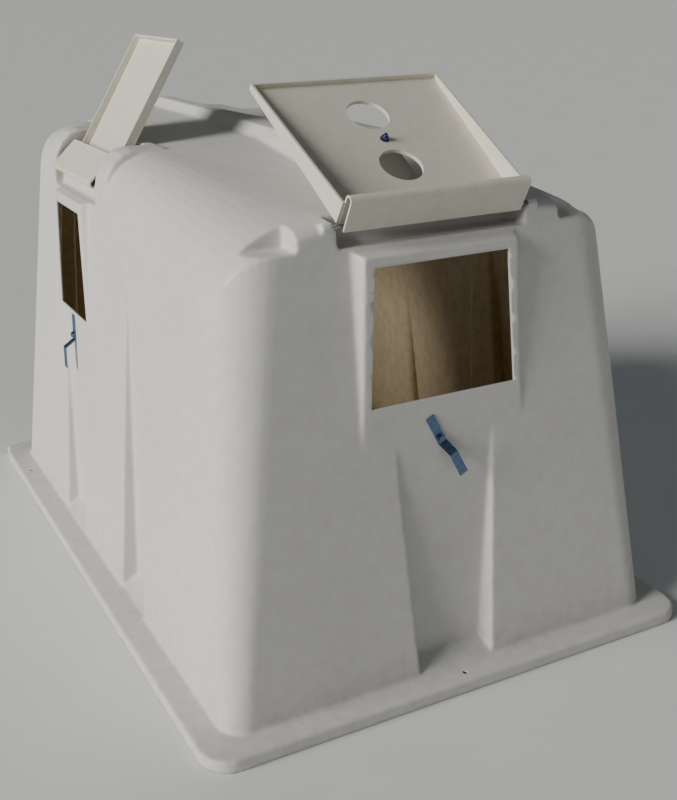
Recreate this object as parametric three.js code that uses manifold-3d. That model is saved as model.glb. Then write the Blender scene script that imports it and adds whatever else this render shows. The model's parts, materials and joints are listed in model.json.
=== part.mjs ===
// Calf hutch: a rotationally moulded one-piece shelter with two hatch lids.
// Units are millimetres. +Z is up, +Y points to the calf's doorway, +X is the side with no window.
// The origin is on the ground, at the centre of the flange that runs round the base.

import * as THREE from 'three';
import { mergeVertices } from 'three/addons/utils/BufferGeometryUtils.js';
import Module from 'manifold-3d';

const wasm = await Module();
wasm.setup();

// ---------------------------------------------------------------- driving dimensions

const SKIN = 6;                 // wall of the moulding
const GAP = 0.3;                // clearance between pieces that touch
const FLANGE = { halfX: 610, halfY: 897, corner: 66, top: 29 };
const BASE = { halfX: 547, halfY: 834, z: 30, corner: 55 };
const SIDE_SLOPE = 0.09;        // side walls lean in by this much for each mm of height
const END_SLOPE = 0.132;        // end walls lean in by this much
const CORNER_GROWTH = 0.062;    // vertical corners get rounder towards the roof
const ROOF = {
  rearY: -705, frontY: 690, levelY: 0,
  rear: { shoulderZ: 800, topX: 232, topZ: 1011, crownZ: 1016 },
  front: { shoulderZ: 925, topX: 310, topZ: 1067, crownZ: 1083 },
};
const RIDGE = { top: 1106, frontY: 838, rearY: -470, toeY: -530, root: 985 };
const HATCH_Y = 270;            // centre of the side window, its pocket and its lid

const REAR_FACE = { offset: 795.7, slope: 0.056 };   // plane of the rear frame and of its channel
const SIDE_FACE = { offset: 513, slope: 0.0287 };    // plane of the side window's frame
const REAR_ROD = { y: -697, z: 1003, halfLength: 244 };
const SIDE_ROD = { x: -432, z: 1013, halfLength: 204 };
const ROD_RADIUS = 5;

const REAR_LID = {
  tilt: 32, y: -690.5, z: 1009.5, length: 417, nearHalf: 214, farHalf: 230, nearRim: 51, farRim: 15,
};
const SIDE_LID = {
  tilt: 58.5, x: -408.4, z: 1047.9, length: 326, half: 160, floor: -43, nearRim: -20, farRim: -23,
};
const LID_WALL = 5;
const VENT = { near: 137, far: 301, bolt: 219, radius: 48, discRadius: 147, disc: 3 };
const REAR_LATCH = { x: -14, z: 550, turn: 26.8 };   // turn: resting angle off straight down, degrees
const SIDE_LATCH_Z = 565;

const REAR_WINDOW = [[-157, 925], [157, 925], [175, 640], [-175, 640]];   // X-Z corners
const SIDE_WINDOW = [[-102, 906], [102, 906], [120, 627], [-120, 627]];   // Y-Z corners, Y from HATCH_Y
const WINDOW_CORNER = 4;
const DOORWAY = { footHalf: 290, topHalf: 276, top: 925, arch: 150 };
const PORTAL_FACE = 838;        // front face of the doorway's surround
const STAKE_HOLES = [[0, -866], [-579, 654], [579, 654]];
const BOLT = { radius: 4, hole: 4.5, bore: 4.4, acrossFlats: 13, head: 5.5, nut: 6.5 };

const COLOURS = { shell: 0xe2e0da, lid: 0xe5e0cf, steel: 0xaab1ba, rod: 0x9a9fa6 };

// ---------------------------------------------------------------- solids

const rad = THREE.MathUtils.degToRad;
const mix = THREE.MathUtils.lerp;

function toSolid(geometry) {
  geometry.deleteAttribute('normal');
  geometry.deleteAttribute('uv');
  const merged = mergeVertices(geometry, 1e-4);
  return new wasm.Manifold(new wasm.Mesh({
    numProp: 3,
    vertProperties: new Float32Array(merged.attributes.position.array),
    triVerts: new Uint32Array(merged.index.array),
  }));
}

function toGeometry(solid) {
  const mesh = solid.getMesh();
  const geometry = new THREE.BufferGeometry();
  geometry.setAttribute('position', new THREE.BufferAttribute(mesh.vertProperties, 3));
  geometry.setIndex(new THREE.BufferAttribute(mesh.triVerts, 1));
  const faceted = geometry.toNonIndexed();
  faceted.computeVertexNormals();
  return faceted;
}

// Skins a row of rings, each with the same number of [x, y, z] points, and caps both ends.
function loft(rings) {
  const count = rings[0].length;
  const positions = rings.flat(2);
  const index = [];
  const caps = [rings[0], rings[rings.length - 1]].map((ring) => {
    positions.push(...[0, 1, 2].map((k) => ring.reduce((sum, p) => sum + p[k], 0) / count));
    return positions.length / 3 - 1;
  });
  const last = (rings.length - 1) * count;
  for (let i = 0; i < count; i += 1) {
    const j = (i + 1) % count;
    for (let r = 0; r < last; r += count) {
      index.push(r + i, r + j, r + count + j, r + i, r + count + j, r + count + i);
    }
    index.push(caps[0], j, i, caps[1], last + i, last + j);
  }
  const geometry = new THREE.BufferGeometry();
  geometry.setAttribute('position', new THREE.Float32BufferAttribute(positions, 3));
  geometry.setIndex(index);
  if (signedVolume(geometry) < 0) {
    geometry.setIndex(index.reverse());
  }
  return toSolid(geometry);
}

function signedVolume(geometry) {
  const position = geometry.attributes.position;
  const corner = [0, 1, 2].map(() => new THREE.Vector3());
  let volume = 0;
  for (let i = 0; i < geometry.index.count; i += 3) {
    corner.forEach((v, k) => v.fromBufferAttribute(position, geometry.index.getX(i + k)));
    volume += corner[0].dot(corner[1].clone().cross(corner[2]));
  }
  return volume;
}

function block(x0, x1, y0, y1, z0, z1) {
  const geometry = new THREE.BoxGeometry(x1 - x0, y1 - y0, z1 - z0);
  geometry.translate((x0 + x1) / 2, (y0 + y1) / 2, (z0 + z1) / 2);
  return toSolid(geometry);
}

// A cylinder along 'x', 'y' or 'z', centred on a point.
function bar(radius, length, along, centre, sides = 20) {
  const geometry = new THREE.CylinderGeometry(radius, radius, length, sides);
  if (along === 'x') geometry.rotateZ(Math.PI / 2);
  if (along === 'z') geometry.rotateX(Math.PI / 2);
  geometry.translate(...centre);
  return toSolid(geometry);
}

// An outline with every corner rounded.
function roundedShape(points, radius) {
  const shape = new THREE.Shape();
  points.forEach((point, i) => {
    const here = new THREE.Vector2(...point);
    const towards = (end) => new THREE.Vector2(...end).sub(here).setLength(radius).add(here);
    const before = towards(points.at(i - 1));
    const after = towards(points[(i + 1) % points.length]);
    if (i === 0) shape.moveTo(before.x, before.y);
    else shape.lineTo(before.x, before.y);
    shape.quadraticCurveTo(here.x, here.y, after.x, after.y);
  });
  shape.closePath();
  return shape;
}

function sharpShape(points) {
  return new THREE.Shape(points.map((p) => new THREE.Vector2(...p)));
}

// Extrudes an X-Z outline from y0 to y1.
function alongY(shape, y0, y1) {
  const settings = { depth: y1 - y0, bevelEnabled: false, curveSegments: 4 };
  const geometry = new THREE.ExtrudeGeometry(shape, settings);
  geometry.rotateX(Math.PI / 2);
  geometry.translate(0, y1, 0);
  return toSolid(geometry);
}

// Extrudes a Y-Z outline from x0 to x1.
function alongX(shape, x0, x1) {
  const settings = { depth: x1 - x0, bevelEnabled: false, curveSegments: 6 };
  const geometry = new THREE.ExtrudeGeometry(shape, settings);
  geometry.applyMatrix4(new THREE.Matrix4().makeBasis(
    new THREE.Vector3(0, 1, 0), new THREE.Vector3(0, 0, 1), new THREE.Vector3(1, 0, 0)));
  geometry.translate(x0, 0, 0);
  return toSolid(geometry);
}

function joinAll(solids) {
  return solids.reduce((sum, solid) => sum.add(solid));
}

// ---------------------------------------------------------------- the moulding's forms
// Each form takes an inset: 0 gives the outer face, SKIN gives the inner face of the wall.

const sideWallX = (z) => BASE.halfX - SIDE_SLOPE * (z - BASE.z);
const endWallY = (z) => BASE.halfY - END_SLOPE * (z - BASE.z);
const rearFaceY = (z) => -(REAR_FACE.offset - REAR_FACE.slope * z);
const sideFaceX = (z) => -(SIDE_FACE.offset - SIDE_FACE.slope * z);

// A rounded rectangle in the X-Y plane, as a ring of points at height z.
function plateRing(halfX, halfY, radius, z) {
  const steps = 10;
  const ring = [];
  const corners = [[1, 1, 0], [-1, 1, 90], [-1, -1, 180], [1, -1, 270]];
  for (const [sx, sy, start] of corners) {
    for (let i = 0; i <= steps; i += 1) {
      const a = rad(start + (90 * i) / steps);
      const x = sx * (halfX - radius) + radius * Math.cos(a);
      const y = sy * (halfY - radius) + radius * Math.sin(a);
      ring.push([x, y, z]);
    }
  }
  return ring;
}

// One X-Z section of walls, shoulders and roof. The roof is low at the rear and level from the middle on.
function roofRing(y, drop, inset) {
  const t = THREE.MathUtils.clamp((y - ROOF.rearY) / (ROOF.levelY - ROOF.rearY), 0, 1);
  const pick = (key) => mix(ROOF.rear[key], ROOF.front[key], t);
  const down = drop + inset;
  const foot = inset > 0 ? -40 : 23;
  const top = new THREE.Vector2(pick('topX') - inset, pick('topZ') - down);
  const start = new THREE.Vector2(sideWallX(pick('shoulderZ')) - inset, pick('shoulderZ') - down);
  const corner = new THREE.Vector2(sideWallX(top.y) - inset, top.y - 2);
  const shoulder = new THREE.QuadraticBezierCurve(start, corner, top).getPoints(12);
  const half = [[sideWallX(foot) - inset, y, foot], ...shoulder.map((p) => [p.x, y, p.y])];
  const crown = [[0, y, pick('crownZ') - down]];
  const mirrored = half.map(([x, , z]) => [-x, y, z]).reverse();
  return [...half, ...crown, ...mirrored];
}

function hutchBody(inset) {
  const stations = [
    [-900, 70], [ROOF.rearY - 18, 70], [ROOF.rearY - 8, 26], [ROOF.rearY + 2, 11], [ROOF.rearY + 14, 3],
    [ROOF.rearY + 30, 0], [ROOF.levelY, 0], [ROOF.frontY - 26, 0], [ROOF.frontY - 6, 5],
    [ROOF.frontY + 6, 16], [ROOF.frontY + 16, 70], [900, 70],
  ];
  const section = loft(stations.map(([y, drop]) => roofRing(y, drop, inset)));
  const plan = loft([-60, 1240].map((z) => plateRing(
    sideWallX(z) - inset, endWallY(z) - inset, BASE.corner + CORNER_GROWTH * (z - BASE.z), z)));
  return section.intersect(plan);
}

function ridge(inset) {
  // Each station: y, half-width at the foot, half-width of the crest, foot height, crest height.
  const stations = [
    [RIDGE.toeY, 96, 62, 1018, 1026],
    [RIDGE.rearY, 92, 54, 1034, RIDGE.top],
    [50, 68, 41, 1078, RIDGE.top],
    [400, 46, 20, 1078, RIDGE.top],
    [RIDGE.frontY, 46, 20, 1078, RIDGE.top],
  ];
  return loft(stations.map(([y, foot, crest, low, high]) => {
    const end = THREE.MathUtils.clamp(y, RIDGE.toeY + inset, RIDGE.frontY - inset);
    const half = [
      [foot - inset, end, RIDGE.root], [foot - inset, end, low - inset], [crest - inset / 2, end, high - inset],
    ];
    return [...half, ...half.map(([x, , z]) => [-x, end, z]).reverse()];
  }));
}

// Square shoulder on the left that carries the side hatch.
function dormer(inset) {
  const y0 = 10 + inset;
  const y1 = 530 - inset;
  const outline = [
    [-468, 900], [-462, 985], [-454, 1018], [-436, 1048],
    [-412, 1068], [-388, 1075], [-300, 1074], [-300, 900],
  ];
  return loft([[y0, 6], [y0 + 10, 0], [y1 - 10, 0], [y1, 6]].map(([y, draft]) => (
    outline.map(([x, z]) => [x + (x < -300 ? draft + inset : 0), y, z > 900 ? z - draft - inset : z]))));
}

// Upright surround of the doorway, with the ridge running into its arch.
function portal(inset) {
  const shape = new THREE.Shape();
  shape.moveTo(-372 + inset, inset > 0 ? -40 : 23);
  shape.lineTo(-350 + inset, 860);
  shape.quadraticCurveTo(-340 + inset, 1056 - inset, -180, 1072 - inset);
  shape.lineTo(0, 1083 - inset);
  shape.lineTo(180, 1072 - inset);
  shape.quadraticCurveTo(340 - inset, 1056 - inset, 350 - inset, 860);
  shape.lineTo(372 - inset, inset > 0 ? -40 : 23);
  shape.closePath();
  return alongY(shape, 600, PORTAL_FACE - inset);
}

// A four-sided form between two quads. Each corner is [x, y, z].
const frustum = (inner, outer) => loft([inner, outer]);

// Raised wedge round the rear window. It stands proud at its top and dies into the wall below.
function rearFrame(inset) {
  const face = [[-180, 947], [180, 947], [197, 556], [-197, 556]];
  const root = [[-204, 958], [204, 958], [202, 546], [-202, 546]];
  const shrink = (half) => Math.sign(half) * (Math.abs(half) - inset);
  return frustum(
    face.map(([x, z]) => [shrink(x), rearFaceY(z) + inset, z > 900 ? z - inset : z]),
    root.map(([x, z]) => [shrink(x), -endWallY(z) + 22, z > 900 ? z - inset : z]));
}

function sideFrame(inset) {
  const face = [[120, 931], [-120, 931], [-145, 600], [145, 600]];
  const root = [[147, 942], [-147, 942], [-160, 592], [160, 592]];
  const shrink = (half) => Math.sign(half) * (Math.abs(half) - inset);
  return frustum(
    face.map(([y, z]) => [sideFaceX(z) + inset, HATCH_Y + shrink(y), z > 900 ? z - inset : z]),
    root.map(([y, z]) => [-sideWallX(z) + 22, HATCH_Y + shrink(y), z > 900 ? z - inset : z]));
}

// Recesses. grow is 0 on the outer face and SKIN on the inner face.
function rearChannel(grow) {
  const floor = [[-85, 62], [85, 62], [120, 556], [-120, 556]];
  const mouth = [[-103, 0], [103, 0], [138, 558], [-138, 558]];
  const widen = (half) => Math.sign(half) * (Math.abs(half) + grow);
  return frustum(
    floor.map(([x, z]) => [widen(x), rearFaceY(z) + grow, z + (z < 100 ? -grow : 0)]),
    mouth.map(([x, z]) => [widen(x), rearFaceY(z) - 84, z]));
}

// Tapered drainage groove in a side wall. side is -1 on the left and 1 on the right.
function sideGroove(side, grow, { base, tip, tipZ, floorX }) {
  const foot = 60 - grow;
  const quad = [[base[0] - grow, foot], [base[1] + grow, foot], [tip[1] + grow, tipZ], [tip[0] - grow, tipZ]];
  const middle = (base[0] + base[1]) / 2;
  const drift = (y) => (y < middle ? -16 : 16);
  return frustum(
    quad.map(([y, z]) => [side * (floorX(z) - grow), y, z]),
    quad.map(([y, z]) => [side * (floorX(z) + 84), y + drift(y), z + (z < 100 ? -62 : 6)]));
}

const GROOVES = [
  { base: [165, 335], tip: [192, 345], tipZ: 606, floorX: (z) => SIDE_FACE.offset - SIDE_FACE.slope * z },
  { base: [-315, -165], tip: [-240, -165], tipZ: 893, floorX: (z) => 506.2 - 0.0416 * z },
];

// Stepped seat that the side lid folds back into.
function sidePocket(grow) {
  const outline = [
    [-620, 937], [-438, 937], [-436, 960], [-394, 973],
    [-362, 1008], [-330, 1062], [-330, 1200], [-620, 1200],
  ];
  const moved = outline.map(([x, z]) => [x > -600 ? x + grow : x, z < 1200 ? z - grow : z]);
  return alongY(sharpShape(moved), HATCH_Y - 185 - grow, HATCH_Y + 185 + grow);
}

// Notch for the rear lid's hinge strip, and the two stepped corners beside it.
function rearNotches(grow) {
  const back = -650 + grow;
  const hinge = loft([[962 - grow, 220], [1200, 236]].map(([z, half]) => {
    const x = half + grow;
    return [[-x, -960, z], [x, -960, z], [x, back, z], [-x, back, z]];
  }));
  const corners = [-1, 1].map((side) => loft([[965 - grow, 311], [1200, 298]].map(([z, half]) => {
    const x = half - grow;
    return [[side * x, -960, z], [side * 640, -960, z], [side * 640, back, z], [side * x, back, z]];
  })));
  return joinAll([hinge, ...corners]);
}

function moulding(inset) {
  const forms = [hutchBody, dormer, portal, ridge, rearFrame, sideFrame];
  const raised = joinAll(forms.map((form) => form(inset)));
  const grooves = GROOVES.flatMap((groove) => [-1, 1].map((side) => sideGroove(side, inset, groove)));
  return raised.subtract(joinAll([rearChannel(inset), sidePocket(inset), rearNotches(inset), ...grooves]));
}

function flange(inset) {
  const foot = inset > 0 ? -1 : 0;
  return loft([foot, FLANGE.top - inset].map((z) => plateRing(
    FLANGE.halfX - inset, FLANGE.halfY - inset, FLANGE.corner - inset, z)));
}

// ---------------------------------------------------------------- the shell

function openings() {
  const { footHalf, topHalf, top, arch } = DOORWAY;
  const rearWindow = roundedShape(REAR_WINDOW, WINDOW_CORNER);
  const sideWindow = roundedShape(SIDE_WINDOW.map(([y, z]) => [HATCH_Y + y, z]), WINDOW_CORNER);
  const doorway = roundedShape([[-footHalf, -200], [footHalf, -200], [topHalf, top], [-topHalf, top]], arch);
  return [
    alongY(rearWindow, -900, -690),
    alongY(doorway, 700, 960),
    alongX(sideWindow, -640, -440),
  ];
}

function stakeHoles() {
  return STAKE_HOLES.map(([x, y]) => bar(6, 60, 'z', [x, y, 20], 16));
}

// Solid ears that hold the ends of the two lid rods in blind sockets.
function rodEars() {
  const ears = [];
  const sockets = [];
  for (const side of [-1, 1]) {
    ears.push(bar(13, 24, 'x', [side * 240, REAR_ROD.y, REAR_ROD.z], 24));
    sockets.push(bar(ROD_RADIUS + 0.5, 25, 'x', [side * 232.5, REAR_ROD.y, REAR_ROD.z]));
    ears.push(bar(13, 26, 'y', [SIDE_ROD.x, HATCH_Y + side * 197, SIDE_ROD.z], 24));
    sockets.push(bar(ROD_RADIUS + 0.5, 24, 'y', [SIDE_ROD.x, HATCH_Y + side * 193, SIDE_ROD.z]));
  }
  return { ears, sockets };
}

// Frames a fastener on the rear or side face: local +Z is the outward normal, local +Y points up the wall.
function rearLatchFrame() {
  const group = new THREE.Group();
  group.position.set(REAR_LATCH.x, rearFaceY(REAR_LATCH.z), REAR_LATCH.z);
  group.rotation.x = Math.PI / 2 - Math.atan(REAR_FACE.slope);
  return group;
}

function sideLatchFrame() {
  const up = new THREE.Vector3(SIDE_FACE.slope, 0, 1).normalize();
  const out = new THREE.Vector3(-1, 0, SIDE_FACE.slope).normalize();
  const group = new THREE.Group();
  group.position.set(sideFaceX(SIDE_LATCH_Z), HATCH_Y, SIDE_LATCH_Z);
  group.setRotationFromMatrix(new THREE.Matrix4().makeBasis(up.clone().cross(out), up, out));
  return group;
}

function boltHole(group) {
  group.updateMatrix();
  const geometry = new THREE.CylinderGeometry(BOLT.hole, BOLT.hole, 50, 20);
  geometry.rotateX(Math.PI / 2);
  geometry.applyMatrix4(group.matrix);
  return toSolid(geometry);
}

function shell() {
  const { ears, sockets } = rodEars();
  const doorGap = block(-DOORWAY.footHalf, DOORWAY.footHalf, 800, 960, -20, 60);
  const skin = moulding(0).add(flange(0)).subtract(moulding(SKIN).add(flange(SKIN)));
  const cuts = [...openings(), ...stakeHoles(), ...sockets, doorGap,
    boltHole(rearLatchFrame()), boltHole(sideLatchFrame())];
  return skin.add(joinAll(ears)).subtract(joinAll(cuts));
}

// ---------------------------------------------------------------- lids

// Inverted-U section that hangs a lid on its rod: an inner leg, a round crest and an outer plate.
function hingeStrip({ slot, wall, centre, crest, foot, lip, flare }) {
  const outer = slot + wall;
  const shape = new THREE.Shape();
  shape.moveTo(centre + outer, foot);
  shape.lineTo(centre + outer, crest);
  shape.absarc(centre, crest, outer, 0, Math.PI, false);
  shape.lineTo(centre - outer - flare, lip);
  shape.lineTo(centre - slot - flare, lip);
  shape.lineTo(centre - slot, crest);
  shape.absarc(centre, crest, slot, Math.PI, 0, true);
  shape.lineTo(centre + slot, foot);
  shape.closePath();
  return shape;
}

// Rear lid. Local X runs across, Y from the hinge to the free edge, Z out of the tray's open side.
function rearLid() {
  const { length, nearHalf, farHalf, nearRim, farRim } = REAR_LID;
  const tray = (inset, lift) => loft([inset, length - inset].map((y) => {
    const half = mix(nearHalf, farHalf, y / length) - inset;
    const rim = mix(nearRim, farRim, y / length) + lift;
    return [[-half, y, inset], [half, y, inset], [half, y, rim], [-half, y, rim]];
  }));
  const section = hingeStrip({ slot: 7, wall: 4.5, centre: -8, crest: 61, foot: 0, lip: -4, flare: 4.5 });
  const strip = alongX(section, -208, 208);
  const holes = [VENT.near, VENT.far].map((y) => bar(VENT.radius, 40, 'z', [0, y, 0], 40));
  const pinHole = bar(BOLT.hole, 40, 'z', [0, VENT.bolt, 0]);
  return tray(0, 0).subtract(tray(LID_WALL, 60)).add(strip).subtract(joinAll([...holes, pinHole]));
}

// Turning disc under the vents: a quarter turn closes both.
function ventDisc() {
  const top = -GAP;
  const disc = bar(VENT.discRadius, VENT.disc, 'z', [0, VENT.bolt, top - VENT.disc / 2], 56);
  const holes = [VENT.near, VENT.far].map((y) => bar(VENT.radius, 20, 'z', [0, y, 0], 40));
  return disc.subtract(joinAll([...holes, bar(BOLT.hole, 20, 'z', [0, VENT.bolt, 0])]));
}

// Side lid. Local X runs from the crease to the free edge, Y along the hutch, Z out of the tray's open side.
function sideLid() {
  const { length, half, floor, nearRim, farRim } = SIDE_LID;
  const tray = (inset, lift) => loft([inset, length - inset].map((x) => {
    const rim = mix(nearRim, farRim, x / length) + lift;
    const y = half - inset;
    return [[x, -y, floor + inset], [x, y, floor + inset], [x, y, rim], [x, -y, rim]];
  }));
  const creaseWall = block(0, LID_WALL, -half, half, floor, 0);
  return tray(0, 0).subtract(tray(LID_WALL, 60)).add(creaseWall).add(alongY(sideFlap(), -172, 172));
}

// Flap beyond the crease, folded back on itself round the rod. t runs along the flap, b behind its face.
function sideFlap() {
  const angle = rad(222.7 - SIDE_LID.tilt);
  const along = [Math.cos(angle), Math.sin(angle)];
  const place = (t, b) => [t * along[0] - b * along[1], t * along[1] + b * along[0]];
  const reach = 88.5;
  const wall = 4;
  const outer = 9.6;
  const returnEnd = 35;
  const arc = (radius, from, to) => Array.from({ length: 9 }, (_, i) => {
    const a = rad(mix(from, to, i / 8));
    return place(reach - outer + radius * Math.cos(a), outer + radius * Math.sin(a));
  });
  return sharpShape([
    place(-4, 0), ...arc(outer, -90, 90), place(returnEnd, 2 * outer), place(returnEnd, 2 * outer - wall),
    ...arc(outer - wall, 90, -90), place(-4, wall),
  ]);
}

// ---------------------------------------------------------------- hardware
// Local +Z is the outward normal of the face that a fastener goes through, and the face is at z = 0.

const WASHER = { outer: 10, thick: 1.6 };
const STRIP = { width: 20, thick: 3, arm: 55, flat: 13, rise: 33, tip: 88, offset: 28 };

function hexagon(acrossFlats, height, z) {
  return bar(acrossFlats / Math.sqrt(3), height, 'z', [0, 0, z + height / 2], 6);
}

function hexBolt(headZ, tipZ) {
  const shankTop = headZ + 1;
  const shank = bar(BOLT.radius, shankTop - tipZ, 'z', [0, 0, (shankTop + tipZ) / 2]);
  return hexagon(BOLT.acrossFlats, BOLT.head, headZ).add(shank);
}

function washer(z) {
  const centre = [0, 0, z + WASHER.thick / 2];
  return bar(WASHER.outer, WASHER.thick, 'z', centre, 28).subtract(bar(BOLT.bore, 10, 'z', centre));
}

function nut(z) {
  return hexagon(BOLT.acrossFlats, BOLT.nut, z).subtract(bar(BOLT.radius + GAP, 30, 'z', [0, 0, z]));
}

// Z-bent strip that turns on its bolt. Its raised tab points down at local -Y.
function turnButton() {
  const { thick, arm, flat, rise, tip, offset } = STRIP;
  const shape = sharpShape([
    [arm, 0], [arm, thick], [-flat + 1.5, thick], [-rise + 1.5, offset + thick], [-tip, offset + thick],
    [-tip, offset], [-rise, offset], [-flat, 0],
  ]);
  return alongX(shape, -STRIP.width / 2, STRIP.width / 2).subtract(bar(BOLT.bore, 30, 'z', [0, 0, 0]));
}

// ---------------------------------------------------------------- assembly

function material(color, roughness, metalness) {
  return new THREE.MeshStandardMaterial({ color, roughness, metalness });
}

const MATERIALS = {
  shell: material(COLOURS.shell, 0.55, 0),
  lid: material(COLOURS.lid, 0.5, 0),
  steel: material(COLOURS.steel, 0.35, 1),
  rod: material(COLOURS.rod, 0.4, 1),
};

function piece(name, solid, finish, parent) {
  const mesh = new THREE.Mesh(toGeometry(solid), MATERIALS[finish]);
  mesh.name = name;
  parent.add(mesh);
  return mesh;
}

// One turn-button with its bolt, washers and nut, on a face of the shell.
function latchSet(prefix, frame, turn) {
  const button = STRIP.thick + GAP;
  const strip = piece(`${prefix}_latch`, turnButton(), 'steel', frame);
  strip.position.z = GAP;
  strip.rotation.z = rad(turn);
  const outerWasher = button + GAP;
  const head = outerWasher + WASHER.thick + GAP;
  const innerWasher = -SKIN - 2 * GAP - WASHER.thick;
  const nutZ = innerWasher - GAP - BOLT.nut;
  piece(`${prefix}_latch_bolt`, hexBolt(head, nutZ - 4), 'steel', frame);
  piece(`${prefix}_latch_washer_outer`, washer(outerWasher), 'steel', frame);
  piece(`${prefix}_latch_washer_inner`, washer(innerWasher), 'steel', frame);
  piece(`${prefix}_latch_nut`, nut(nutZ), 'steel', frame);
}

const hutch = new THREE.Group();
piece('shell', shell(), 'shell', hutch);

const rearRod = bar(ROD_RADIUS, 2 * REAR_ROD.halfLength, 'x', [0, REAR_ROD.y, REAR_ROD.z]);
piece('rear_hinge_rod', rearRod, 'rod', hutch);
const sideRod = bar(ROD_RADIUS, 2 * SIDE_ROD.halfLength, 'y', [SIDE_ROD.x, HATCH_Y, SIDE_ROD.z]);
piece('side_hinge_rod', sideRod, 'rod', hutch);

const rearLidGroup = new THREE.Group();
rearLidGroup.position.set(0, REAR_LID.y, REAR_LID.z);
rearLidGroup.rotation.x = rad(REAR_LID.tilt);
hutch.add(rearLidGroup);
piece('rear_lid', rearLid(), 'lid', rearLidGroup);
piece('vent_disc', ventDisc(), 'lid', rearLidGroup);

const ventPin = new THREE.Group();
ventPin.position.y = VENT.bolt;
rearLidGroup.add(ventPin);
const discBack = -GAP - VENT.disc;
const washerBack = discBack - GAP - WASHER.thick;
const ventBolt = piece('vent_bolt', hexBolt(-washerBack + GAP, -LID_WALL - 14), 'steel', ventPin);
ventBolt.rotation.x = Math.PI;
piece('vent_washer_outer', washer(washerBack), 'steel', ventPin);
piece('vent_washer_inner', washer(LID_WALL + GAP), 'steel', ventPin);
piece('vent_nut', nut(LID_WALL + 2 * GAP + WASHER.thick), 'steel', ventPin);

const sideLidGroup = new THREE.Group();
sideLidGroup.position.set(SIDE_LID.x, HATCH_Y, SIDE_LID.z);
sideLidGroup.rotation.y = -rad(SIDE_LID.tilt);
hutch.add(sideLidGroup);
piece('side_lid', sideLid(), 'lid', sideLidGroup);

const rearLatch = rearLatchFrame();
const sideLatch = sideLatchFrame();
hutch.add(rearLatch, sideLatch);
latchSet('rear', rearLatch, REAR_LATCH.turn);
latchSet('side', sideLatch, 0);

export default hutch;
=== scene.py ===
"""Looks for the calf hutch: moulded plastic, plated fittings, studio floor, lights and camera."""
import json
import math

import bmesh
import bpy
from mathutils import Matrix, Vector


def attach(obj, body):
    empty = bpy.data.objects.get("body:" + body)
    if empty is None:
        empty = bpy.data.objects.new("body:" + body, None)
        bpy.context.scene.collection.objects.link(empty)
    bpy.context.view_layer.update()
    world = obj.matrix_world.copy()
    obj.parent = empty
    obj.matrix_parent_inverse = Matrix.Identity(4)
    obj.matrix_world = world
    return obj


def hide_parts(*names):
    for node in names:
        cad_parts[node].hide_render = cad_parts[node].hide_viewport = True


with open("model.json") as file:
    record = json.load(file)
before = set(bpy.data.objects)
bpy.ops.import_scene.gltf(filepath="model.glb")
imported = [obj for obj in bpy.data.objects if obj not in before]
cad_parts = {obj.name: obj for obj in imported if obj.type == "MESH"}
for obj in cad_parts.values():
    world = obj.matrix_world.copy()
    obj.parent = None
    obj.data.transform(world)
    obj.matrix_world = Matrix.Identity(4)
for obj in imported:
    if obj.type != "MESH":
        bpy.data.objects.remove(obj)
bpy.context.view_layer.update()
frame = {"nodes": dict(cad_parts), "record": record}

SHELL_COLOUR = (0.70, 0.69, 0.66)
# Painted light: the inner faces are the shell's own plastic, tinted warm brown to stand in for
# light shining through the translucent wall.
INNER_WARM_LIGHT_COLOUR = (0.70, 0.57, 0.36)
LID_COLOUR = (0.74, 0.71, 0.61)
ZINC_COLOUR = (0.13, 0.20, 0.32)
ROD_COLOUR = (0.36, 0.37, 0.39)
SHELL_STAIN = (0.55, 0.52, 0.44)
INNER_STAIN = (0.24, 0.18, 0.10)
LID_STAIN = (0.58, 0.52, 0.36)
SOILED_HEIGHT = 0.22  # splashes fade out at this height above the ground, in metres


# ------------------------------------------------------------------ materials

def new_material(name):
    material = bpy.data.materials.new(name)
    material.use_nodes = True
    nodes = material.node_tree.nodes
    return material, nodes, material.node_tree.links, nodes["Principled BSDF"]


def noise(nodes, links, source, scale, detail, roughness=0.55):
    node = nodes.new("ShaderNodeTexNoise")
    node.inputs["Scale"].default_value = scale
    node.inputs["Detail"].default_value = detail
    node.inputs["Roughness"].default_value = roughness
    links.new(source, node.inputs["Vector"])
    return node


def ramp(nodes, links, source, stops):
    node = nodes.new("ShaderNodeValToRGB")
    for element, (place, value) in zip(node.color_ramp.elements, stops):
        element.position = place
        element.color = (*value, 1) if isinstance(value, tuple) else (value, value, value, 1)
    links.new(source, node.inputs["Fac"])
    return node.outputs["Color"]


def mix(nodes, links, factor, a, b):
    """Blends two colours. Inputs 6 and 7 and output 2 are the node's colour sockets."""
    node = nodes.new("ShaderNodeMix")
    node.data_type = "RGBA"
    links.new(factor, node.inputs["Factor"])
    for key, value in ((6, a), (7, b)):
        if isinstance(value, tuple):
            node.inputs[key].default_value = (*value, 1)
        else:
            links.new(value, node.inputs[key])
    return node.outputs[2]


def bump(nodes, links, height, strength, distance):
    node = nodes.new("ShaderNodeBump")
    node.inputs["Strength"].default_value = strength
    node.inputs["Distance"].default_value = distance
    links.new(height.outputs["Fac"], node.inputs["Height"])
    return node


def tint(colour, factor):
    return tuple(channel * factor for channel in colour)


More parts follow.
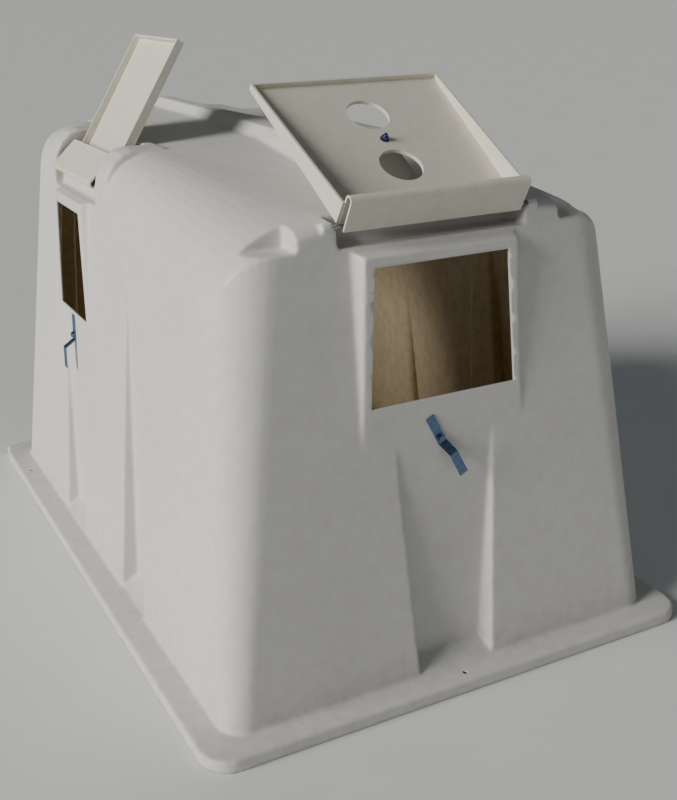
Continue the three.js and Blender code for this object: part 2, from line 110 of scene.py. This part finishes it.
def moulded_plastic(name, colour, stain, grain=260.0):
    """Rotationally moulded plastic: clouding, sintered grain, scuffs, soiling near the ground."""
    material, nodes, links, shader = new_material(name)
    place = nodes.new("ShaderNodeNewGeometry").outputs["Position"]
    cloud = noise(nodes, links, place, 2.6, 4.0)
    mottle = noise(nodes, links, place, 34.0, 6.0, 0.65)
    pores = noise(nodes, links, place, grain, 3.0)
    clouding = ramp(nodes, links, cloud.outputs["Fac"], [(0.30, 0.0), (0.72, 1.0)])
    base = mix(nodes, links, clouding, tint(colour, 0.955), tint(colour, 1.03))
    scuffs = ramp(nodes, links, mottle.outputs["Fac"], [(0.42, 0.0), (0.75, 0.35)])
    base = mix(nodes, links, scuffs, base, stain)
    height = nodes.new("ShaderNodeSeparateXYZ")
    links.new(place, height.inputs["Vector"])
    low = nodes.new("ShaderNodeMapRange")
    low.inputs["From Min"].default_value = SOILED_HEIGHT
    low.inputs["From Max"].default_value = 0.0
    links.new(height.outputs["Z"], low.inputs["Value"])
    splash = nodes.new("ShaderNodeMath")
    splash.operation = "MULTIPLY"
    links.new(low.outputs["Result"], splash.inputs[0])
    links.new(mottle.outputs["Fac"], splash.inputs[1])
    soiled = ramp(nodes, links, splash.outputs["Value"], [(0.25, 0.0), (0.75, 0.30)])
    base = mix(nodes, links, soiled, base, tint(stain, 0.72))
    links.new(base, shader.inputs["Base Color"])
    rough = ramp(nodes, links, mottle.outputs["Fac"], [(0.25, 0.44), (0.80, 0.60)])
    links.new(rough, shader.inputs["Roughness"])
    shader.inputs["IOR"].default_value = 1.5
    shader.inputs["Specular IOR Level"].default_value = 0.42
    ripple = noise(nodes, links, place, 9.0, 3.0)
    wave = bump(nodes, links, ripple, 0.10, 0.004)
    fine = bump(nodes, links, pores, 0.10, 0.0006)
    links.new(wave.outputs["Normal"], fine.inputs["Normal"])
    links.new(fine.outputs["Normal"], shader.inputs["Normal"])
    return material


def plated_steel(name, colour, roughness, streak):
    """Zinc-plated steel: crystalline mottling, fine drawing lines and handling marks."""
    material, nodes, links, shader = new_material(name)
    place = nodes.new("ShaderNodeNewGeometry").outputs["Position"]
    stretch = nodes.new("ShaderNodeVectorMath")
    stretch.operation = "MULTIPLY"
    stretch.inputs[1].default_value = streak
    links.new(place, stretch.inputs[0])
    lines = noise(nodes, links, stretch.outputs["Vector"], 60.0, 5.0, 0.7)
    spangle = nodes.new("ShaderNodeTexVoronoi")
    spangle.inputs["Scale"].default_value = 240.0
    links.new(place, spangle.inputs["Vector"])
    crystals = ramp(nodes, links, spangle.outputs["Distance"], [(0.0, 0.0), (0.8, 1.0)])
    base = mix(nodes, links, crystals, tint(colour, 0.80), tint(colour, 1.15))
    links.new(base, shader.inputs["Base Color"])
    worn = [(0.3, roughness - 0.08), (0.7, roughness + 0.14)]
    links.new(ramp(nodes, links, lines.outputs["Fac"], worn), shader.inputs["Roughness"])
    shader.inputs["Metallic"].default_value = 1.0
    drawn = bump(nodes, links, lines, 0.12, 0.0003)
    links.new(drawn.outputs["Normal"], shader.inputs["Normal"])
    return material


FINISHES = {
    "shell_plastic": moulded_plastic("shell_plastic", SHELL_COLOUR, SHELL_STAIN),
    # Inner faces: the same plastic as outside, with painted warm light shining through the wall
    # as their colour.
    "shell_inner": moulded_plastic("shell_inner", INNER_WARM_LIGHT_COLOUR, INNER_STAIN),
    "lid_plastic": moulded_plastic("lid_plastic", LID_COLOUR, LID_STAIN, 320.0),
    "zinc_steel": plated_steel("zinc_steel", ZINC_COLOUR, 0.30, (1.0, 1.0, 6.0)),
    "rod_steel": plated_steel("rod_steel", ROD_COLOUR, 0.36, (0.3, 4.0, 4.0)),
}


# ------------------------------------------------------------------ CAD nodes

FLAT_ANGLE = 0.6   # degrees between faces that merge into one
SHARP_ANGLE = 32   # degrees from which an edge is rounded
SMALL_RADIUS = 0.0005
EDGE_RADIUS = {
    "rear_lid": 0.0023,
    "side_lid": 0.0022,
    "vent_disc": 0.0009,
    "rear_latch": 0.0009,
    "side_latch": 0.0009,
}


def soften(obj, width):
    """Merges each flat face, rounds the sharp edges and smooths the shading."""
    dissolve = obj.modifiers.new("merge_flats", "DECIMATE")
    dissolve.decimate_type = "DISSOLVE"
    dissolve.angle_limit = math.radians(FLAT_ANGLE)
    bevel = obj.modifiers.new("round_edges", "BEVEL")
    bevel.width = width
    bevel.segments = 3
    bevel.limit_method = "ANGLE"
    bevel.angle_limit = math.radians(SHARP_ANGLE)
    bevel.harden_normals = False
    normals = obj.modifiers.new("even_normals", "WEIGHTED_NORMAL")
    normals.keep_sharp = True
    for polygon in obj.data.polygons:
        polygon.use_smooth = True



slots = {row["node"]: row["material_slot"] for row in frame["record"]["subparts"]}
for name, obj in frame["nodes"].items():
    obj.data.materials.clear()
    obj.data.materials.append(FINISHES[slots[name]])
    if name != "shell":
        soften(obj, EDGE_RADIUS.get(name, SMALL_RADIUS))


# ------------------------------------------------------------------ moulded shell

SKIN = 0.006
VOXEL = 0.0042
KEEP_FACES = 0.16
DOOR_HALF, DOOR_TOP, DOOR_ARCH, DOOR_DRAFT = 0.283, 0.925, 0.15, 0.004
HATCH_Y = 0.27
REAR_WINDOW = [(-0.157, 0.925), (0.157, 0.925), (0.175, 0.640), (-0.175, 0.640)]
SIDE_WINDOW = [
    (HATCH_Y - 0.102, 0.906),
    (HATCH_Y + 0.102, 0.906),
    (HATCH_Y + 0.120, 0.627),
    (HATCH_Y - 0.120, 0.627),
]
STAKE_HOLES = [(0.0, -0.866), (-0.579, 0.654), (0.579, 0.654)]
STAKE_RADIUS = 0.006
FLANGE_TOP = 0.029
REAR_BOLT_X, REAR_BOLT_Z = -0.014, 0.55
SIDE_BOLT_Z = 0.565
PORTAL_FACE = 0.838
PLUG_MARGIN = 0.012   # a plug reaches past its opening by this much
GROUND_EDGE = 0.012   # the skin's open edge below this height is set down on the ground
REACH = 0.06          # faces this far round an opening take part in its cuts
ARC_STEPS = 8


def rear_face_y(z):
    return -(0.7957 - 0.056 * z)


def side_face_x(z):
    return -(0.513 - 0.0287 * z)


def add_slab(bm, front, back):
    """A closed plug between two outlines with the same number of corners."""
    near, far = [[bm.verts.new(point) for point in ring] for ring in (front, back)]
    faces = [bm.faces.new(near), bm.faces.new(reversed(far))]
    for i in range(len(near)):
        faces.append(bm.faces.new((near[i], near[i - 1], far[i - 1], far[i])))
    bmesh.ops.recalc_face_normals(bm, faces=faces)


def add_box(bm, low, high):
    ring = [(low[0], low[1]), (high[0], low[1]), (high[0], high[1]), (low[0], high[1])]
    add_slab(bm, [(x, y, low[2]) for x, y in ring], [(x, y, high[2]) for x, y in ring])


def rounded_plate(half_x, half_y, radius, steps=10):
    """A rectangle about the origin with round corners."""
    ring = []
    for sx, sy, start in ((1, 1, 0), (-1, 1, 90), (-1, -1, 180), (1, -1, 270)):
        for i in range(steps + 1):
            a = math.radians(start + 90 * i / steps)
            x = sx * (half_x - radius) + radius * math.cos(a)
            y = sy * (half_y - radius) + radius * math.sin(a)
            ring.append((x, y))
    return ring


def circle(x, y, radius, count=16):
    turns = [math.tau * i / count for i in range(count)]
    return [(x + radius * math.cos(a), y + radius * math.sin(a)) for a in turns]


def bezier(a, b, c, t):
    return (1 - t) ** 2 * a + 2 * t * (1 - t) * b + t * t * c


def door_outline():
    """The doorway in X-Z, with its two upper corners arched."""
    arch = []
    for i in range(ARC_STEPS + 1):
        t = i / ARC_STEPS
        x = bezier(DOOR_HALF, DOOR_HALF - DOOR_DRAFT, DOOR_HALF - DOOR_ARCH, t)
        z = bezier(DOOR_TOP - DOOR_ARCH, DOOR_TOP, DOOR_TOP, t)
        arch.append((x, z))
    right = [(DOOR_HALF + DOOR_DRAFT, -0.02)] + arch
    return right + [(-x, z) for x, z in reversed(right)]


def spread(outline, centre):
    """A window outline widened by the plug margin, given its centre across."""
    middle = sum(z for _, z in outline) / len(outline)
    wider = []
    for across, z in outline:
        across += math.copysign(PLUG_MARGIN, across - centre)
        wider.append((across, z + math.copysign(PLUG_MARGIN, z - middle)))
    return wider


def plug_openings(bm):
    """Fills each opening flush with the outer face, so that the outer skin is closed."""
    window = spread(REAR_WINDOW, 0.0)
    add_slab(bm, [(x, rear_face_y(z), z) for x, z in window],
             [(x, rear_face_y(z) + SKIN, z) for x, z in window])
    hatch = spread(SIDE_WINDOW, HATCH_Y)
    add_slab(bm, [(side_face_x(z), y, z) for y, z in hatch],
             [(side_face_x(z) + SKIN, y, z) for y, z in hatch])
    add_box(bm, (-0.31, PORTAL_FACE - SKIN, 0.0), (0.31, PORTAL_FACE, 0.95))
    plate = rounded_plate(0.607, 0.894, 0.063)
    add_slab(bm, [(x, y, 0.0) for x, y in plate], [(x, y, 0.012) for x, y in plate])
    for side in (-1, 1):
        ends = sorted((side * 0.290, side * 0.603))
        add_box(bm, (ends[0], 0.80, 0.0), (ends[1], 0.890, 0.026))
    for x, y in STAKE_HOLES:
        add_box(bm, (x - 0.010, y - 0.010, 0.0), (x + 0.010, y + 0.010, FLANGE_TOP))
    face = rear_face_y(REAR_BOLT_Z)
    add_box(bm, (REAR_BOLT_X - 0.016, face + 0.0004, REAR_BOLT_Z - 0.015),
            (REAR_BOLT_X + 0.016, face + 0.010, REAR_BOLT_Z + 0.015))
    face = side_face_x(SIDE_BOLT_Z)
    add_box(bm, (face + 0.0004, HATCH_Y - 0.012, SIDE_BOLT_Z - 0.012),
            (face + 0.010, HATCH_Y + 0.012, SIDE_BOLT_Z + 0.012))


def keep_outer_part(bm):
    """Deletes every loose part but the one that reaches out furthest."""
    unseen = set(bm.verts)
    best = []
    reach = -1.0
    while unseen:
        seed = unseen.pop()
        part = [seed]
        stack = [seed]
        while stack:
            for edge in stack.pop().link_edges:
                for vert in edge.verts:
                    if vert in unseen:
                        unseen.discard(vert)
                        part.append(vert)
                        stack.append(vert)
        furthest = max(vert.co.x for vert in part)
        if furthest > reach:
            best, reach = part, furthest
    keep = set(best)
    bmesh.ops.delete(bm, geom=[vert for vert in bm.verts if vert not in keep], context="VERTS")


def cut_opening(bm, outline, axis, near):
    """Cuts a convex outline through the skin along an axis, only where near(centre) is true."""
    a, b = [k for k in range(3) if k != axis]
    middle = [sum(point[k] for point in outline) / len(outline) for k in (0, 1)]
    inside = Vector((0, 0, 0))
    inside[a], inside[b] = middle
    sides = []
    for i, start in enumerate(outline):
        end = outline[(i + 1) % len(outline)]
        normal = Vector((0, 0, 0))
        normal[a], normal[b] = end[1] - start[1], start[0] - end[0]
        point = Vector((0, 0, 0))
        point[a], point[b] = start
        if normal.dot(inside - point) > 0:
            normal.negate()
        sides.append((point, normal.normalized()))
    faces = [f for f in bm.faces if near(f.calc_center_median()) and inside_all(f, sides, REACH)]
    for point, normal in sides:
        geom = set(faces)
        for face in faces:
            geom.update(face.edges)
            geom.update(face.verts)
        cut = bmesh.ops.bisect_plane(
            bm, geom=list(geom), dist=1e-6, plane_co=point, plane_no=normal)
        faces = [item for item in cut["geom"] if isinstance(item, bmesh.types.BMFace)]
    bmesh.ops.delete(bm, geom=[f for f in faces if inside_all(f, sides, 0.0)], context="FACES")


def inside_all(face, sides, margin):
    """True where a face's centre is within a margin of every side plane."""
    centre = face.calc_center_median()
    return all(normal.dot(centre - point) < margin for point, normal in sides)


def bake_modifiers(obj):
    graph = bpy.context.evaluated_depsgraph_get()
    mesh = bpy.data.meshes.new_from_object(obj.evaluated_get(graph))
    obj.modifiers.clear()
    obj.data = mesh


def build_skin():
    """One moulded skin with generous radii, taken from the CAD shell's outer form."""
    bm = bmesh.new()
    bm.from_mesh(frame["nodes"]["shell"].data)
    bmesh.ops.remove_doubles(bm, verts=bm.verts, dist=1e-5)
    plug_openings(bm)
    mesh = bpy.data.meshes.new("shell_skin")
    bm.to_mesh(mesh)
    bm.free()
    obj = bpy.data.objects.new("shell_skin", mesh)
    bpy.context.collection.objects.link(obj)
    remesh = obj.modifiers.new("remesh", "REMESH")
    remesh.mode = "VOXEL"
    remesh.voxel_size = VOXEL
    bake_modifiers(obj)
    bm = bmesh.new()
    bm.from_mesh(obj.data)
    keep_outer_part(bm)
    bm.to_mesh(obj.data)
    bm.free()
    relax = obj.modifiers.new("relax", "SMOOTH")
    relax.factor = 0.5
    relax.iterations = 3
    if KEEP_FACES < 1:
        thin = obj.modifiers.new("thin_out", "DECIMATE")
        thin.ratio = KEEP_FACES
    bake_modifiers(obj)
    bm = bmesh.new()
    bm.from_mesh(obj.data)
    bm.normal_update()
    ground = [f for f in bm.faces if f.normal.z < -0.5 and f.calc_center_median().z < 0.008]
    bmesh.ops.delete(bm, geom=ground, context="FACES")
    for vert in bm.verts:
        if vert.is_boundary and vert.co.z < GROUND_EDGE:
            vert.co.z = 0.0
    cut_opening(bm, REAR_WINDOW, 1, lambda c: c.y < -0.6)
    cut_opening(bm, SIDE_WINDOW, 0, lambda c: c.x < -0.3)
    cut_opening(bm, door_outline(), 1, lambda c: c.y > 0.6)
    for x, y in STAKE_HOLES:
        cut_opening(bm, circle(x, y, STAKE_RADIUS), 2, lambda c: c.z < 0.05)
    for face in bm.faces:
        face.smooth = True
    bm.to_mesh(obj.data)
    bm.free()
    obj.data.materials.clear()
    obj.data.materials.append(FINISHES["shell_plastic"])
    # The inner faces get the copy of the plastic with painted warm light.
    obj.data.materials.append(FINISHES["shell_inner"])
    thick = obj.modifiers.new("wall", "SOLIDIFY")
    thick.thickness = SKIN
    thick.offset = -1
    thick.material_offset = 1
    bake_modifiers(obj)
    for polygon in obj.data.polygons:
        polygon.use_smooth = True
    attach(obj, "root")
    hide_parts("shell")


build_skin()


# ------------------------------------------------------------------ studio

def floor_material():
    material, nodes, links, shader = new_material("studio_floor")
    place = nodes.new("ShaderNodeNewGeometry").outputs["Position"]
    grain = noise(nodes, links, place, 3.0, 4.0)
    tones = [(0.3, (0.80, 0.80, 0.79)), (0.7, (0.83, 0.83, 0.82))]
    links.new(ramp(nodes, links, grain.outputs["Fac"], tones), shader.inputs["Base Color"])
    shader.inputs["Roughness"].default_value = 0.85
    return material


def studio():
    bpy.ops.mesh.primitive_plane_add(size=1200, location=(0, 0, -0.001))
    floor = bpy.context.object
    floor.name = "floor"
    floor.data.materials.append(floor_material())
    world = bpy.data.worlds.new("studio")
    world.use_nodes = True
    background = world.node_tree.nodes["Background"]
    background.inputs["Color"].default_value = (0.88, 0.94, 1.0, 1)
    background.inputs["Strength"].default_value = 0.11
    bpy.context.scene.world = world


def softbox(name, place, target, size, power, colour):
    light = bpy.data.lights.new(name, "AREA")
    light.shape = "RECTANGLE"
    light.size, light.size_y = size
    light.energy = power
    light.color = colour
    obj = bpy.data.objects.new(name, light)
    obj.location = place
    obj.rotation_euler = (Vector(target) - Vector(place)).to_track_quat("-Z", "Y").to_euler()
    bpy.context.collection.objects.link(obj)


def key_sun(towards, strength, colour):
    """A very broad key light, so that its shadows stay soft."""
    light = bpy.data.lights.new("key", "SUN")
    light.angle = math.radians(30)
    light.energy = strength
    light.color = colour
    obj = bpy.data.objects.new("key", light)
    obj.rotation_euler = Vector(towards).to_track_quat("Z", "Y").to_euler()
    bpy.context.collection.objects.link(obj)


def camera():
    """Low behind the hutch's left rear corner. The three directions are the camera's own axes."""
    right = Vector((0.88829, -0.45904, -0.01510))
    up = Vector((0.17462, 0.30714, 0.93551))
    forward = right.cross(up) * -1
    data = bpy.data.cameras.new("camera")
    data.sensor_width = 36
    data.lens = 49.6
    data.shift_x = 0.0231
    data.shift_y = -0.0126
    obj = bpy.data.objects.new("camera", data)
    turn = Matrix((right, up, -forward)).transposed().to_4x4()
    obj.matrix_world = Matrix.Translation((-1.1933, -2.5332, 1.4559)) @ turn
    bpy.context.collection.objects.link(obj)
    bpy.context.scene.camera = obj


studio()
key_sun((-0.92, -0.04, 0.38), 3.7, (1.0, 0.985, 0.95))
softbox("fill", (1.0, -5.0, 2.4), (0, -0.3, 0.6), (3.0, 3.0), 3, (0.88, 0.94, 1.0))
camera()
